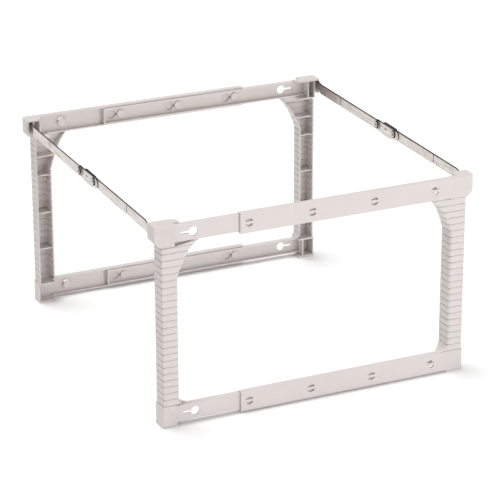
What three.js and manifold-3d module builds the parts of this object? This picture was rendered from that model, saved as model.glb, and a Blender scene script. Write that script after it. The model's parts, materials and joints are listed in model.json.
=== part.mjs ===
// Hanging file rack: two moulded end frames joined by two folding steel bars.
// Each end frame is a wide and a slim C-shaped half that telescope and lock on studs in keyholes.
// Millimetres, +Z up. The origin is on the floor, at the middle of the rack. X runs along an end
// frame and Y runs from the near end frame to the far one.
import * as THREE from 'three';
import { mergeVertices } from 'three/addons/utils/BufferGeometryUtils.js';
import Module from 'manifold-3d';

const wasm = await Module();
wasm.setup();

// Overall sizes
const RACK_LENGTH = 375; // along an end frame, between the outer faces of its feet
const RACK_WIDTH = 406; // between the outer faces of the two end frames
const RACK_HEIGHT = 237;
const SIZE_STEP = 76.2; // legal width less letter width, the pitch of studs and keyholes

// Clearances
const FIT_GAP = 0.4; // between the telescoping channels
const SLIP_GAP = 0.3; // round pins, necks and stacked strips
const HAIR = 0.1; // overlap that fuses neighbouring shapes of one piece

// Posts, heads and feet
const FRAME_DEPTH = 18.7;
const POST_WIDTH = 21.3;
const POST_INSET = 1.2; // the ribbed post stands back from the foot's outer end
const POST_WALL = 1.6;
const BAND_COUNT = 24;
const BAND_CHAMFER = 1.5;
const BAND_RELIEF = 0.9;
const OUTER_CORNER = 2.2;
const INNER_CORNER = 3.4;
const WEB_SHARES = [0.234, 0.483, 0.741, 0.87]; // heights of the cross webs up a post
const WEB_THICKNESS = 1.5;
const WEB_DEPTH = 16.5;
const FRONT_WALL = 2.2;
const SIDE_WALL = 1.6;
const FLOOR = 2;
const TOP_PLATE = 2;
const HEAD_HEIGHT = 24.6;
const NOSE_HEIGHT = 18; // upright part of the head's outer end, above its chamfer
const WIDE_OVERHANG = 7.8;
const SLIM_OVERHANG = 6.2;
const NOSE_RADIUS = 4;
const PLATE_SWELL = 5; // how far the top plate's rounded back edge bulges
const PLATE_SHOULDER = 5; // the bulge's widest part, outwards of the post's inner side

// Socket that holds a steel bar's end, open below and towards the other end frame
const SOCKET_INNER = 0.4;
const SOCKET_GAP = 0.35; // between the outer strip and the socket's outer wall
const PIN_RADIUS = 1.5;
const PIN_DEPTH = 9; // pin axis behind the frame's outer face
const POCKET_WALL = 1.5;
const POCKET_WIDTH = 7;
const FOOT_WALL = 14.4; // wall that parts a slim foot's hollow from its arm
const SOCKET_MOUTH = 9; // how far the socket's opening runs on below the head and behind it

// Channel arms
const ARM_END_GAP = 0.8; // between a wide arm's end and the slim face at the letter width
const ARM_HEIGHT = 23.8;
const ARM_LIFT = 1.5;
const ARM_WEB = 2;
const ARM_FLANGE = 1.8;
const WIDE_ARM_DEPTH = 7.1;
const SLIM_WEB = 1.8;
const SLIM_FLANGE = 1.6;
const SLIM_ARM_DEPTH = 9.8;
const SLIM_END_WALL = 1.6; // closes a slim arm's free end
const SLIM_FACE = 17.6; // plain face of a slim head or foot, before its arm steps back
const GUSSET_REACH = 24.2;
const GUSSET_DROP = 41;
const GUSSET_RIM = 1.8;
const GUSSET_BEND_X = 0.36; // the curve's control point, as shares of the reach and the drop
const GUSSET_BEND_Z = 0.32;
const FILLET_REACH = 12;
const FILLET_RISE = 7.5;
const FILLET_BEND = 0.15;

// Studs and keyholes
const STUD_MARGIN = 30; // least distance of a stud from its own foot's outer end
const UNLOCK_TRAVEL = 11.5;
const KEYHOLE_OFFSET = 40.3; // outermost keyhole's round part, from the slim foot's outer end
const KEYHOLE_RADIUS = 5.2;
const STUD_HEAD_RADIUS = 4.25;
const STUD_HEAD_THICKNESS = 1.5;
const NECK_LENGTH = 6;
const NECK_HEIGHT = 2;
const WINDOW_RADIUS = 4.75;
const WINDOW_BAND = 3.2;

// Steel bars
const STRIP_THICKNESS = 0.9;
const STRIP_HEIGHT = 12.5;
const STRIP_DROP = 0.5; // strip's top edge below the underside of the top plate
const BAR_OFFSET = 3; // link plate's middle plane, outside the foot's outer end
const JOGGLE_START = 21; // from the frame's outer face
const JOGGLE_LENGTH = 13;
const RIVET_SPACING = 40.4;
const NEAR_TAIL = 23; // near strip past its rivet, behind the link and its eye
const FAR_TAIL = 6.25;
const LINK_TAIL = 11.1;
const LINK_BELLY = 2.5;
const LIP_RISE = 2.4;
const LIP_WIDTH = 2.2;
const LIP_LEAD = 8.3; // lip's start beyond the near rivet
const LIP_END = 3;
const LINK_EYE_RADIUS = 1.4;
const RIVET_RADIUS = 1.6;
const RIVET_HEAD_RADIUS = 4.6;
const RIVET_TAIL_RADIUS = 3;
const RIVET_HEAD = 0.8;
const RIVET_TAIL = 0.6;
const NOTCH_OFFSET = 87; // snap-off notch, from the frame's outer face
const NOTCH_RADIUS = 1.6;

// Values worked out from the sizes above
const ARM_TOP_Z = RACK_HEIGHT - ARM_HEIGHT;
const FOOT_HEIGHT = ARM_LIFT + ARM_HEIGHT;
const HEAD_Z = RACK_HEIGHT - HEAD_HEIGHT;
const LAYER = STRIP_THICKNESS + SLIP_GAP;
const SOCKET_OUTER = BAR_OFFSET + LAYER + STRIP_THICKNESS / 2 + SOCKET_GAP;
const SLIM_WEB_Y = ARM_WEB + FIT_GAP;
const SLIM_INSET = ARM_FLANGE + FIT_GAP;
const SEAT_OFFSET = KEYHOLE_OFFSET - UNLOCK_TRAVEL;
const ARM_REACH = RACK_LENGTH - SIZE_STEP - SLIM_FACE - ARM_END_GAP;
const STUDS_PER_ARM = Math.floor((RACK_LENGTH - SEAT_OFFSET - STUD_MARGIN) / SIZE_STEP);
const FIRST_STUD = RACK_LENGTH - SEAT_OFFSET - STUDS_PER_ARM * SIZE_STEP;
const BAR_Z = RACK_HEIGHT - TOP_PLATE - STRIP_DROP - STRIP_HEIGHT / 2;
const RIVET_Y = RIVET_SPACING / 2;
const LIP_START = -RIVET_Y - LIP_LEAD;
const ARM_LEVELS = [ARM_LIFT, ARM_TOP_Z];
const POCKET_X = -SOCKET_INNER + POCKET_WALL;
const HEAD_WALL = POCKET_X + POCKET_WIDTH;
const WALL_X = POST_WIDTH - BAND_RELIEF - POST_WALL;

// ---- shape helpers ----

function solidOf(geometry) {
  const bare = geometry.clone();
  bare.deleteAttribute('normal');
  bare.deleteAttribute('uv');
  const merged = mergeVertices(bare, 1e-4);
  const source = new wasm.Mesh({
    numProp: 3,
    vertProperties: new Float32Array(merged.attributes.position.array),
    triVerts: new Uint32Array(merged.index.array),
  });
  return new wasm.Manifold(source);
}

function join(solids) {
  return solids.reduce((whole, solid) => whole.add(solid));
}

function cut(solid, cutters) {
  return cutters.reduce((rest, cutter) => rest.subtract(cutter), solid);
}

function block(x0, x1, y0, y1, z0, z1) {
  const geometry = new THREE.BoxGeometry(x1 - x0, y1 - y0, z1 - z0);
  geometry.translate((x0 + x1) / 2, (y0 + y1) / 2, (z0 + z1) / 2);
  return solidOf(geometry);
}

function outline(points) {
  return new THREE.Shape(points.map(([a, b]) => new THREE.Vector2(a, b)));
}

function extrude(shape, depth, curveSegments) {
  return new THREE.ExtrudeGeometry(shape, { depth, bevelEnabled: false, curveSegments });
}

// A shape drawn in x and y, standing from z0 to z1
function prismAlongZ(shape, z0, z1, curveSegments = 8) {
  const geometry = extrude(shape, z1 - z0, curveSegments);
  geometry.translate(0, 0, z0);
  return solidOf(geometry);
}

// A shape drawn in x and z, running from y0 to y1
function prismAlongY(shape, y0, y1, curveSegments = 8) {
  const geometry = extrude(shape, y1 - y0, curveSegments);
  geometry.rotateX(Math.PI / 2);
  geometry.translate(0, y1, 0);
  return solidOf(geometry);
}

// A shape drawn in y and z, running from x0 to x1
function prismAlongX(shape, x0, x1, curveSegments = 8) {
  const geometry = extrude(shape, x1 - x0, curveSegments);
  const turn = new THREE.Matrix4().makeBasis(
    new THREE.Vector3(0, 1, 0),
    new THREE.Vector3(0, 0, 1),
    new THREE.Vector3(1, 0, 0),
  );
  geometry.applyMatrix4(turn);
  geometry.translate(x0, 0, 0);
  return solidOf(geometry);
}

function rodAlongX(radius, x0, x1, y, z, sides = 20) {
  const geometry = new THREE.CylinderGeometry(radius, radius, x1 - x0, sides);
  geometry.rotateZ(Math.PI / 2);
  geometry.translate((x0 + x1) / 2, y, z);
  return solidOf(geometry);
}

function rodAlongY(radius, y0, y1, x, z, sides = 12) {
  const geometry = new THREE.CylinderGeometry(radius, radius, y1 - y0, sides);
  geometry.translate(x, (y0 + y1) / 2, z);
  return solidOf(geometry);
}

// Mesh geometry from a solid; a mirrored copy is flipped in x and its faces are turned back out
function geometryOf(solid, mirrored = false) {
  const mesh = solid.getMesh();
  const positions = new Float32Array(mesh.vertProperties);
  const triangles = new Uint32Array(mesh.triVerts);
  if (mirrored) {
    for (let i = 0; i < positions.length; i += 3) {
      positions[i] = -positions[i];
    }
    for (let i = 0; i < triangles.length; i += 3) {
      [triangles[i + 1], triangles[i + 2]] = [triangles[i + 2], triangles[i + 1]];
    }
  }
  const geometry = new THREE.BufferGeometry();
  geometry.setAttribute('position', new THREE.BufferAttribute(positions, 3));
  geometry.setIndex(new THREE.BufferAttribute(triangles, 1));
  geometry.computeVertexNormals();
  return geometry;
}

// ---- end frame halves, in their own frame: x from the foot's outer end towards the other half,
// y from the outer face towards the other end frame, z up ----

function gussetCurve(height) {
  const path = new THREE.QuadraticBezierCurve(
    new THREE.Vector2(POST_WIDTH + GUSSET_REACH, height),
    new THREE.Vector2(POST_WIDTH + GUSSET_BEND_X * GUSSET_REACH, height - GUSSET_BEND_Z * GUSSET_DROP),
    new THREE.Vector2(POST_WIDTH, height - GUSSET_DROP),
  );
  return path.getPoints(6).map((point) => [point.x, point.y]);
}

function filletCurve(height) {
  const path = new THREE.QuadraticBezierCurve(
    new THREE.Vector2(POST_WIDTH, height + FILLET_RISE),
    new THREE.Vector2(POST_WIDTH + FILLET_BEND * FILLET_REACH, height + FILLET_BEND * FILLET_RISE),
    new THREE.Vector2(POST_WIDTH + FILLET_REACH, height),
  );
  return path.getPoints(4).map((point) => [point.x, point.y]);
}

// Side view of a corner brace, from the hollow of the post out to the brace's curve
function braceShape(curve) {
  const root = WALL_X - HAIR;
  const first = curve[0];
  const last = curve[curve.length - 1];
  return outline([[root, first[1]], ...curve, [root, last[1]]]);
}

// Room behind a brace's face, open to the hollow of the post
function braceHollow(curve, rimShift) {
  const room = prismAlongY(braceShape(curve), FRONT_WALL, FRAME_DEPTH + 1);
  return room.translate(-GUSSET_RIM, 0, rimShift);
}

// Corner brace between post and arm: face plate plus a rim along its curve, thinning towards the arm
function brace(curve, cornerZ, reach, armDepth) {
  const root = WALL_X;
  const full = prismAlongY(braceShape(curve), 0, FRAME_DEPTH);
  const taper = outline([
    [root - 1, 0],
    [POST_WIDTH + reach + 1, 0],
    [POST_WIDTH + reach + 1, armDepth],
    [POST_WIDTH, FRAME_DEPTH],
    [root - 1, FRAME_DEPTH],
  ]);
  const bounds = prismAlongZ(taper, cornerZ - GUSSET_DROP - 1, cornerZ + GUSSET_DROP + 1);
  return full.intersect(bounds);
}

// Cross webs in the hollow of a post; the uppermost runs on into the gusset
function crossWebs(curve) {
  const gusset = prismAlongY(braceShape(curve), HAIR, WEB_DEPTH);
  const x0 = POST_INSET + BAND_RELIEF + POST_WALL;
  return join(WEB_SHARES.map((share) => {
    const z = FOOT_HEIGHT + share * (HEAD_Z - FOOT_HEIGHT);
    const web = block(x0 - HAIR, WALL_X + HAIR, POST_WALL, WEB_DEPTH, z, z + WEB_THICKNESS);
    const wing = block(x0, POST_WIDTH + GUSSET_REACH, POST_WALL, WEB_DEPTH, z, z + WEB_THICKNESS);
    return web.add(wing.intersect(gusset));
  }));
}

function postPlan(inset) {
  const x0 = POST_INSET + inset;
  const x1 = POST_WIDTH - inset;
  const shape = new THREE.Shape();
  shape.moveTo(x0, FRAME_DEPTH);
  shape.lineTo(x0, inset + OUTER_CORNER);
  shape.lineTo(x0 + OUTER_CORNER, inset);
  shape.lineTo(x1 - INNER_CORNER, inset);
  shape.lineTo(x1, inset + INNER_CORNER);
  shape.lineTo(x1, FRAME_DEPTH);
  shape.closePath();
  return shape;
}

function postBand(z0, height) {
  const geometry = new THREE.ExtrudeGeometry(postPlan(0), {
    depth: height - 2 * BAND_CHAMFER,
    bevelEnabled: true,
    bevelThickness: BAND_CHAMFER,
    bevelSize: BAND_RELIEF,
    bevelOffset: -BAND_RELIEF,
    bevelSegments: 1,
    curveSegments: 1,
  });
  geometry.translate(0, 0, z0 + BAND_CHAMFER);
  return solidOf(geometry);
}

// Channel-shaped post, ribbed outside and open towards the other end frame
function post() {
  const pitch = (HEAD_Z - FOOT_HEIGHT) / BAND_COUNT;
  const parts = [prismAlongZ(postPlan(BAND_RELIEF + HAIR), FOOT_HEIGHT - HAIR, HEAD_Z + HAIR)];
  for (let i = 0; i < BAND_COUNT; i += 1) {
    parts.push(postBand(FOOT_HEIGHT + i * pitch, pitch));
  }
  const x0 = POST_INSET + BAND_RELIEF + POST_WALL;
  const hollow = block(x0, WALL_X, BAND_RELIEF + POST_WALL, FRAME_DEPTH + 1, FOOT_HEIGHT - 1, HEAD_Z + 1);
  return join(parts).subtract(hollow);
}

function foot() {
  return block(0, POST_WIDTH, 0, FRAME_DEPTH, 0, FOOT_HEIGHT);
}

// Front view of a head: the overhang over the steel bar has a sloping lower corner
function headFace(overhang) {
  return outline([
    [-overhang, RACK_HEIGHT],
    [-overhang, RACK_HEIGHT - NOSE_HEIGHT],
    [0, HEAD_Z],
    [POST_WIDTH, HEAD_Z],
    [POST_WIDTH, RACK_HEIGHT],
  ]);
}

// Plan of a head with its rounded outer corner
function headPlan(overhang, nose) {
  const shape = new THREE.Shape();
  shape.moveTo(-overhang, FRAME_DEPTH);
  shape.lineTo(-overhang, nose);
  shape.quadraticCurveTo(-overhang, 0, nose - overhang, 0);
  shape.lineTo(POST_WIDTH, 0);
  shape.lineTo(POST_WIDTH, FRAME_DEPTH);
  shape.closePath();
  return shape;
}

// Top plate with a swelling back edge that runs out along the arm
function topPlate(overhang, nose, armDepth) {
  const shape = new THREE.Shape();
  shape.moveTo(-overhang, FRAME_DEPTH);
  shape.lineTo(-overhang, nose);
  shape.quadraticCurveTo(-overhang, 0, nose - overhang, 0);
  shape.lineTo(POST_WIDTH + GUSSET_REACH / 2, 0);
  shape.lineTo(POST_WIDTH + GUSSET_REACH / 2, armDepth);
  shape.quadraticCurveTo(POST_WIDTH - PLATE_SHOULDER, FRAME_DEPTH + PLATE_SWELL, -overhang, FRAME_DEPTH);
  return prismAlongZ(shape, RACK_HEIGHT - TOP_PLATE, RACK_HEIGHT);
}

// Head block with the bar socket and its pin, and a lightening pocket beside the socket
function head(overhang, nose, armDepth) {
  const face = prismAlongY(headFace(overhang), 0, FRAME_DEPTH);
  const plan = prismAlongZ(headPlan(overhang, nose), HEAD_Z - 1, RACK_HEIGHT + 1);
  const body = face.intersect(plan);
  const roof = RACK_HEIGHT - TOP_PLATE;
  const mouthY = FRAME_DEPTH + SOCKET_MOUTH;
  const mouthZ = HEAD_Z - SOCKET_MOUTH;
  const socket = block(-SOCKET_OUTER, -SOCKET_INNER, FRONT_WALL, mouthY, mouthZ, roof);
  const pocket = block(POCKET_X, HEAD_WALL, FRONT_WALL, FRAME_DEPTH + 1, HEAD_Z + FLOOR, roof);
  const hollowed = cut(join([body, topPlate(overhang, nose, armDepth)]), [socket, pocket]);
  const pin = rodAlongX(
    PIN_RADIUS,
    -SOCKET_OUTER - HAIR,
    -SOCKET_INNER + HAIR,
    PIN_DEPTH,
    BAR_Z,
    12,
  );
  return join([hollowed, pin]);
}

// Hollow of a head or foot where its arm starts, open towards the arm
function armBay(x0, y0, z0) {
  const low = z0 + ARM_FLANGE;
  return block(x0, POST_WIDTH + 1, y0, FRAME_DEPTH + 1, low, z0 + ARM_HEIGHT - ARM_FLANGE);
}

function channel(x0, x1, y0, web, depth, flange, z0, z1) {
  return join([
    block(x0, x1, y0, y0 + web, z0, z1),
    block(x0, x1, y0, depth, z0, z0 + flange),
    block(x0, x1, y0, depth, z1 - flange, z1),
  ]);
}

function wideArm(z0) {
  const x0 = POST_WIDTH - SIDE_WALL;
  return channel(x0, ARM_REACH, 0, ARM_WEB, WIDE_ARM_DEPTH, ARM_FLANGE, z0, z0 + ARM_HEIGHT);
}

function studPlaces() {
  return Array.from({ length: STUDS_PER_ARM }, (_, i) => FIRST_STUD + i * SIZE_STEP);
}

// Two crescent openings in the arm, above and below the stud's neck
function studWindow(x, z) {
  const hole = rodAlongY(WINDOW_RADIUS, -1, ARM_WEB + 1, x, z);
  const reach = WINDOW_RADIUS + 1;
  const half = WINDOW_BAND / 2;
  return hole.subtract(block(x - reach, x + reach, -2, ARM_WEB + 2, z - half, z + half));
}

// Neck through the slim arm's keyhole and a round head behind it
function stud(x, z) {
  const headY = SLIM_WEB_Y + SLIM_WEB + SLIP_GAP;
  const halfNeck = NECK_LENGTH / 2;
  const halfHeight = NECK_HEIGHT / 2;
  return join([
    block(x - halfNeck, x + halfNeck, ARM_WEB - HAIR, headY + HAIR, z - halfHeight, z + halfHeight),
    rodAlongY(STUD_HEAD_RADIUS, headY, headY + STUD_HEAD_THICKNESS, x, z),
  ]);
}

function wideHalf() {
  const gusset = gussetCurve(ARM_TOP_Z + HAIR);
  const fillet = filletCurve(FOOT_HEIGHT - HAIR);
  const bays = ARM_LEVELS.map((z) => armBay(HEAD_WALL + POCKET_WALL, ARM_WEB, z));
  const bayEnd = POST_WIDTH - SIDE_WALL;
  const footBay = block(SIDE_WALL, bayEnd, FRONT_WALL, FRAME_DEPTH + 1, FLOOR, FOOT_HEIGHT - FLOOR);
  const ends = join([
    foot(),
    post(),
    brace(gusset, ARM_TOP_Z, GUSSET_REACH, WIDE_ARM_DEPTH),
    brace(fillet, FOOT_HEIGHT, FILLET_REACH, WIDE_ARM_DEPTH),
  ]);
  const open = cut(ends, [braceHollow(gusset, GUSSET_RIM), braceHollow(fillet, -GUSSET_RIM)]);
  const whole = join([
    open,
    crossWebs(gusset),
    head(WIDE_OVERHANG, NOSE_RADIUS, WIDE_ARM_DEPTH),
    ...ARM_LEVELS.map(wideArm),
  ]);
  const hollowed = cut(whole, [...bays, footBay]);
  const parts = [];
  const windows = [];
  for (const level of ARM_LEVELS) {
    const z = level + ARM_HEIGHT / 2;
    for (const x of studPlaces()) {
      parts.push(stud(x, z));
      windows.push(studWindow(x, z));
    }
  }
  return join([cut(hollowed, windows), ...parts]);
}

function slimArm(x0, z0) {
  const low = z0 + SLIM_INSET;
  const high = z0 + ARM_HEIGHT - SLIM_INSET;
  return join([
    channel(x0, ARM_REACH, SLIM_WEB_Y, SLIM_WEB, SLIM_ARM_DEPTH, SLIM_FLANGE, low, high),
    block(ARM_REACH - SLIM_END_WALL, ARM_REACH, SLIM_WEB_Y, SLIM_ARM_DEPTH, low, high),
  ]);
}

// Round entry for the stud's head and a narrow tail, towards the post, that its neck slides into
function keyhole(x, z) {
  const y0 = SLIM_WEB_Y - 1;
  const y1 = SLIM_WEB_Y + SLIM_WEB + 1;
  const tail = UNLOCK_TRAVEL + NECK_LENGTH / 2 + SLIP_GAP;
  const half = NECK_HEIGHT / 2 + SLIP_GAP;
  return join([rodAlongY(KEYHOLE_RADIUS, y0, y1, x, z), block(x - tail, x, y0, y1, z - half, z + half)]);
}

// Room that the wide arm needs in front of the slim head and foot at the letter width
function wideArmRoom(z0) {
  const depth = WIDE_ARM_DEPTH + FIT_GAP;
  return block(SLIM_FACE, ARM_REACH, -1, depth, z0 - FIT_GAP, z0 + ARM_HEIGHT + FIT_GAP);
}

function slimHalf() {
  const gusset = gussetCurve(ARM_TOP_Z + SLIM_INSET + HAIR);
  const fillet = filletCurve(FOOT_HEIGHT - SLIM_INSET);
  const starts = [FOOT_WALL, HEAD_WALL];
  const bays = ARM_LEVELS.map((z, i) => armBay(starts[i] + POCKET_WALL, SLIM_WEB_Y + SLIM_WEB, z));
  const footBay = block(SIDE_WALL, FOOT_WALL, FRONT_WALL, FRAME_DEPTH + 1, FLOOR, FOOT_HEIGHT - FLOOR);
  const topSlot = block(
    SLIM_FACE,
    POST_WIDTH + GUSSET_REACH,
    -1,
    WIDE_ARM_DEPTH + FIT_GAP,
    HEAD_Z - HAIR,
    ARM_TOP_Z + HAIR,
  );
  const ends = join([
    foot(),
    post(),
    brace(gusset, ARM_TOP_Z, GUSSET_REACH, SLIM_ARM_DEPTH),
    brace(fillet, FOOT_HEIGHT, FILLET_REACH, SLIM_ARM_DEPTH),
  ]);
  const open = cut(ends, [braceHollow(gusset, GUSSET_RIM), braceHollow(fillet, -GUSSET_RIM)]);
  const whole = join([open, crossWebs(gusset), head(SLIM_OVERHANG, HAIR, SLIM_ARM_DEPTH)]);
  const hollowed = cut(whole, [...bays, footBay, topSlot, ...ARM_LEVELS.map(wideArmRoom)]);
  const arms = join(ARM_LEVELS.map((z, i) => slimArm(starts[i], z)));
  const holes = [];
  for (const level of ARM_LEVELS) {
    for (let i = 0; i < STUDS_PER_ARM; i += 1) {
      holes.push(keyhole(KEYHOLE_OFFSET + i * SIZE_STEP, level + ARM_HEIGHT / 2));
    }
  }
  return cut(join([hollowed, arms]), holes);
}

// ---- steel bars, in the bar's own frame: the origin at the middle of the link plate, x outwards
// through the plate, y towards the far end frame, z up ----

// Strip from a head pin to past its rivet. side is -1 for the near strip and 1 for the far one.
// The strip steps across by two layers next to the head, so both bars fit the same sockets.
function strip(side, tail) {
  const layerX = -side * LAYER;
  const endX = side * LAYER;
  const half = STRIP_THICKNESS / 2;
  const outer = RACK_WIDTH / 2;
  const joggleOuter = outer - JOGGLE_START;
  const joggleInner = joggleOuter - JOGGLE_LENGTH;
  const pinY = outer - PIN_DEPTH;
  const innerEnd = RIVET_Y - tail;
  const plan = outline([
    [endX - half, side * outer],
    [endX - half, side * joggleOuter],
    [layerX - half, side * joggleInner],
    [layerX - half, side * (innerEnd - 1)],
    [layerX + half, side * (innerEnd - 1)],
    [layerX + half, side * joggleInner],
    [endX + half, side * joggleOuter],
    [endX + half, side * outer],
  ]);
  const sheet = prismAlongZ(plan, -STRIP_HEIGHT, STRIP_HEIGHT);
  const radius = STRIP_HEIGHT / 2;
  const endY = innerEnd + radius;
  const span = [side * endY, side * pinY].sort((a, b) => a - b);
  const reach = 3 * LAYER;
  const face = join([
    block(-reach, reach, span[0], span[1], -radius, radius),
    rodAlongX(radius, -reach, reach, side * pinY, 0),
    rodAlongX(radius, -reach, reach, side * endY, 0),
  ]);
  const holes = [
    rodAlongX(PIN_RADIUS + SLIP_GAP, -reach - 1, reach + 1, side * pinY, 0, 12),
    rodAlongX(RIVET_RADIUS + SLIP_GAP, -reach - 1, reach + 1, side * RIVET_Y, 0, 12),
    rodAlongX(NOTCH_RADIUS, -reach - 1, reach + 1, side * (outer - NOTCH_OFFSET), -radius, 8),
  ];
  return cut(sheet.intersect(face), holes);
}

// Link plate: deeper below between the rivets, with a thumb lip bent over outwards along its top
function link() {
  const half = STRIP_THICKNESS / 2;
  const radius = STRIP_HEIGHT / 2;
  const nearEnd = -RIVET_Y - LINK_TAIL;
  const farEnd = RIVET_Y + FAR_TAIL;
  const shape = new THREE.Shape();
  shape.moveTo(nearEnd + radius, -radius);
  shape.quadraticCurveTo(nearEnd, -radius, nearEnd, 0);
  shape.quadraticCurveTo(nearEnd, radius, LIP_START - 1, radius);
  shape.lineTo(LIP_START, radius + LIP_RISE);
  shape.lineTo(LIP_END - 1, radius + LIP_RISE);
  shape.lineTo(LIP_END, radius);
  shape.lineTo(farEnd - radius, radius);
  shape.quadraticCurveTo(farEnd, radius, farEnd, 0);
  shape.quadraticCurveTo(farEnd, -radius, farEnd - radius, -radius);
  shape.quadraticCurveTo(0, -radius - 2 * LINK_BELLY, nearEnd + radius, -radius);
  const plate = prismAlongX(shape, -half, half);
  const lipZ = radius + LIP_RISE;
  const lip = block(-half - LIP_WIDTH, half, LIP_START, LIP_END - 1, lipZ - STRIP_THICKNESS, lipZ);
  const hole = RIVET_RADIUS + SLIP_GAP;
  return cut(join([plate, lip]), [
    rodAlongX(hole, -1, 1, -RIVET_Y, 0, 12),
    rodAlongX(hole, -1, 1, RIVET_Y, 0, 12),
    rodAlongX(LINK_EYE_RADIUS, -1, 1, 0, 0, 12),
  ]);
}

// Rivet through two stacked plates; the middle of the stack is at x = 0 and the head is at -x
function rivet() {
  const stack = STRIP_THICKNESS + SLIP_GAP / 2 + SLIP_GAP;
  const profile = [
    [0, -stack - RIVET_HEAD],
    [RIVET_HEAD_RADIUS - RIVET_HEAD, -stack - RIVET_HEAD],
    [RIVET_HEAD_RADIUS, -stack - RIVET_HEAD / 2],
    [RIVET_HEAD_RADIUS, -stack],
    [RIVET_RADIUS, -stack],
    [RIVET_RADIUS, stack],
    [RIVET_TAIL_RADIUS, stack],
    [RIVET_TAIL_RADIUS - RIVET_TAIL / 2, stack + RIVET_TAIL],
    [0, stack + RIVET_TAIL],
  ];
  const points = profile.map(([r, y]) => new THREE.Vector2(r, y));
  const geometry = new THREE.LatheGeometry(points, 16);
  geometry.rotateZ(-Math.PI / 2);
  return solidOf(geometry);
}

// ---- materials ----

function mouldedPlastic() {
  return new THREE.MeshStandardMaterial({ color: 0xe6dfd9, roughness: 0.55, metalness: 0 });
}

function platedSteel() {
  return new THREE.MeshStandardMaterial({ color: 0xc2bfbb, roughness: 0.3, metalness: 1 });
}

// ---- assembly ----

const plastic = mouldedPlastic();
const steel = platedSteel();
const rack = new THREE.Group();

function addPiece(parent, name, geometry, material, x, y, z) {
  const mesh = new THREE.Mesh(geometry, material);
  mesh.name = name;
  mesh.position.set(x, y, z);
  parent.add(mesh);
}

// One end frame in its own frame: the slim half at -X, the wide half at +X, outer face towards -Y
function endFrame(name, wide, slim) {
  const frame = new THREE.Group();
  addPiece(frame, `${name}_slim_half`, slim, plastic, -RACK_LENGTH / 2, -RACK_WIDTH / 2, 0);
  addPiece(frame, `${name}_wide_half`, wide, plastic, RACK_LENGTH / 2, -RACK_WIDTH / 2, 0);
  return frame;
}

function foldingBar(name, pieces, x) {
  const bar = new THREE.Group();
  bar.position.set(x, 0, BAR_Z);
  addPiece(bar, `${name}_near_strip`, pieces.nearStrip, steel, 0, 0, 0);
  addPiece(bar, `${name}_far_strip`, pieces.farStrip, steel, 0, 0, 0);
  addPiece(bar, `${name}_link`, pieces.link, steel, 0, 0, 0);
  addPiece(bar, `${name}_near_rivet`, pieces.rivet, steel, LAYER / 2, -RIVET_Y, 0);
  addPiece(bar, `${name}_far_rivet`, pieces.rivet, steel, -LAYER / 2, RIVET_Y, 0);
  return bar;
}

const wideGeometry = geometryOf(wideHalf(), true);
const slimGeometry = geometryOf(slimHalf());
const nearFrame = endFrame('near', wideGeometry, slimGeometry);
const farFrame = endFrame('far', wideGeometry, slimGeometry);
farFrame.rotation.z = Math.PI;

const barPieces = {
  nearStrip: geometryOf(strip(-1, NEAR_TAIL)),
  farStrip: geometryOf(strip(1, FAR_TAIL)),
  link: geometryOf(link()),
  rivet: geometryOf(rivet()),
};
const barX = RACK_LENGTH / 2 + BAR_OFFSET;

rack.add(nearFrame, farFrame);
rack.add(foldingBar('left', barPieces, -barX));
rack.add(foldingBar('right', barPieces, barX));

export default rack;
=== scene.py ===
"""Looks of a hanging file rack: two moulded end frames joined by two folding steel bars.

Each end frame is a wide and a slim C-shaped half that telescope and lock on mushroom studs. Sizes in
the classes are millimetres, in the half's or the bar's own frame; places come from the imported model.
"""

from __future__ import annotations

import json
import logging
import math
from dataclasses import dataclass, field
from enum import Enum
from typing import Callable, Iterable, Sequence

import bmesh
import bpy
from bmesh.types import BMEdge, BMesh, BMVert
from mathutils import Euler, Matrix, Vector

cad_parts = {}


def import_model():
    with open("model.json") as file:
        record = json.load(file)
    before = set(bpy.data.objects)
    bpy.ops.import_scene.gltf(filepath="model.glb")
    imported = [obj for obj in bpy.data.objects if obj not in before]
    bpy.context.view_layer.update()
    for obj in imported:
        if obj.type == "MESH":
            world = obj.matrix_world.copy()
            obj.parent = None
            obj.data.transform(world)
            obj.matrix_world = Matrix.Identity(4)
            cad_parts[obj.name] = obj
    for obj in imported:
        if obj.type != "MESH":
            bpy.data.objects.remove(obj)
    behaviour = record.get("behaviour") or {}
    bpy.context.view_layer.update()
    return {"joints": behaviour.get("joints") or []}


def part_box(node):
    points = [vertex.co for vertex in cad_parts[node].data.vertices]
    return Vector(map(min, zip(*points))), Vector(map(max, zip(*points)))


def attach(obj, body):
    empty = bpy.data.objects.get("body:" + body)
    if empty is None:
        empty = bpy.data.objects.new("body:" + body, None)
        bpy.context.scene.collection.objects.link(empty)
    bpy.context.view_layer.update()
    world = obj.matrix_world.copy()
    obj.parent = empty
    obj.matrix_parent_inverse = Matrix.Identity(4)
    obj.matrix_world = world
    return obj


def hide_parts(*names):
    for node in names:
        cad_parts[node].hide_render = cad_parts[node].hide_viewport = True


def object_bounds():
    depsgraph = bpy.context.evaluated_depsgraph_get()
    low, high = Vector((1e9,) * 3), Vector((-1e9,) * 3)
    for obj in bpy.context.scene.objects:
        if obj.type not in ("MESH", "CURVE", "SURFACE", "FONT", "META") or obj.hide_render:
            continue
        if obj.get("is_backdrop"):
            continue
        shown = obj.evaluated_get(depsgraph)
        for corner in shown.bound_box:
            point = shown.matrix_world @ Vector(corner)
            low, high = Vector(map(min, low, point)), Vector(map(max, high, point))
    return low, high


LOG = logging.getLogger("file_rack")
MM = 0.001
SHARP_ANGLE = math.radians(32)
CURVE_STEPS = 8  # straight steps in a curved edge

Point2 = tuple[float, float]
Point3 = tuple[float, float, float]
Setting = dict[str, object]


# ---- finishes ----


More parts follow.
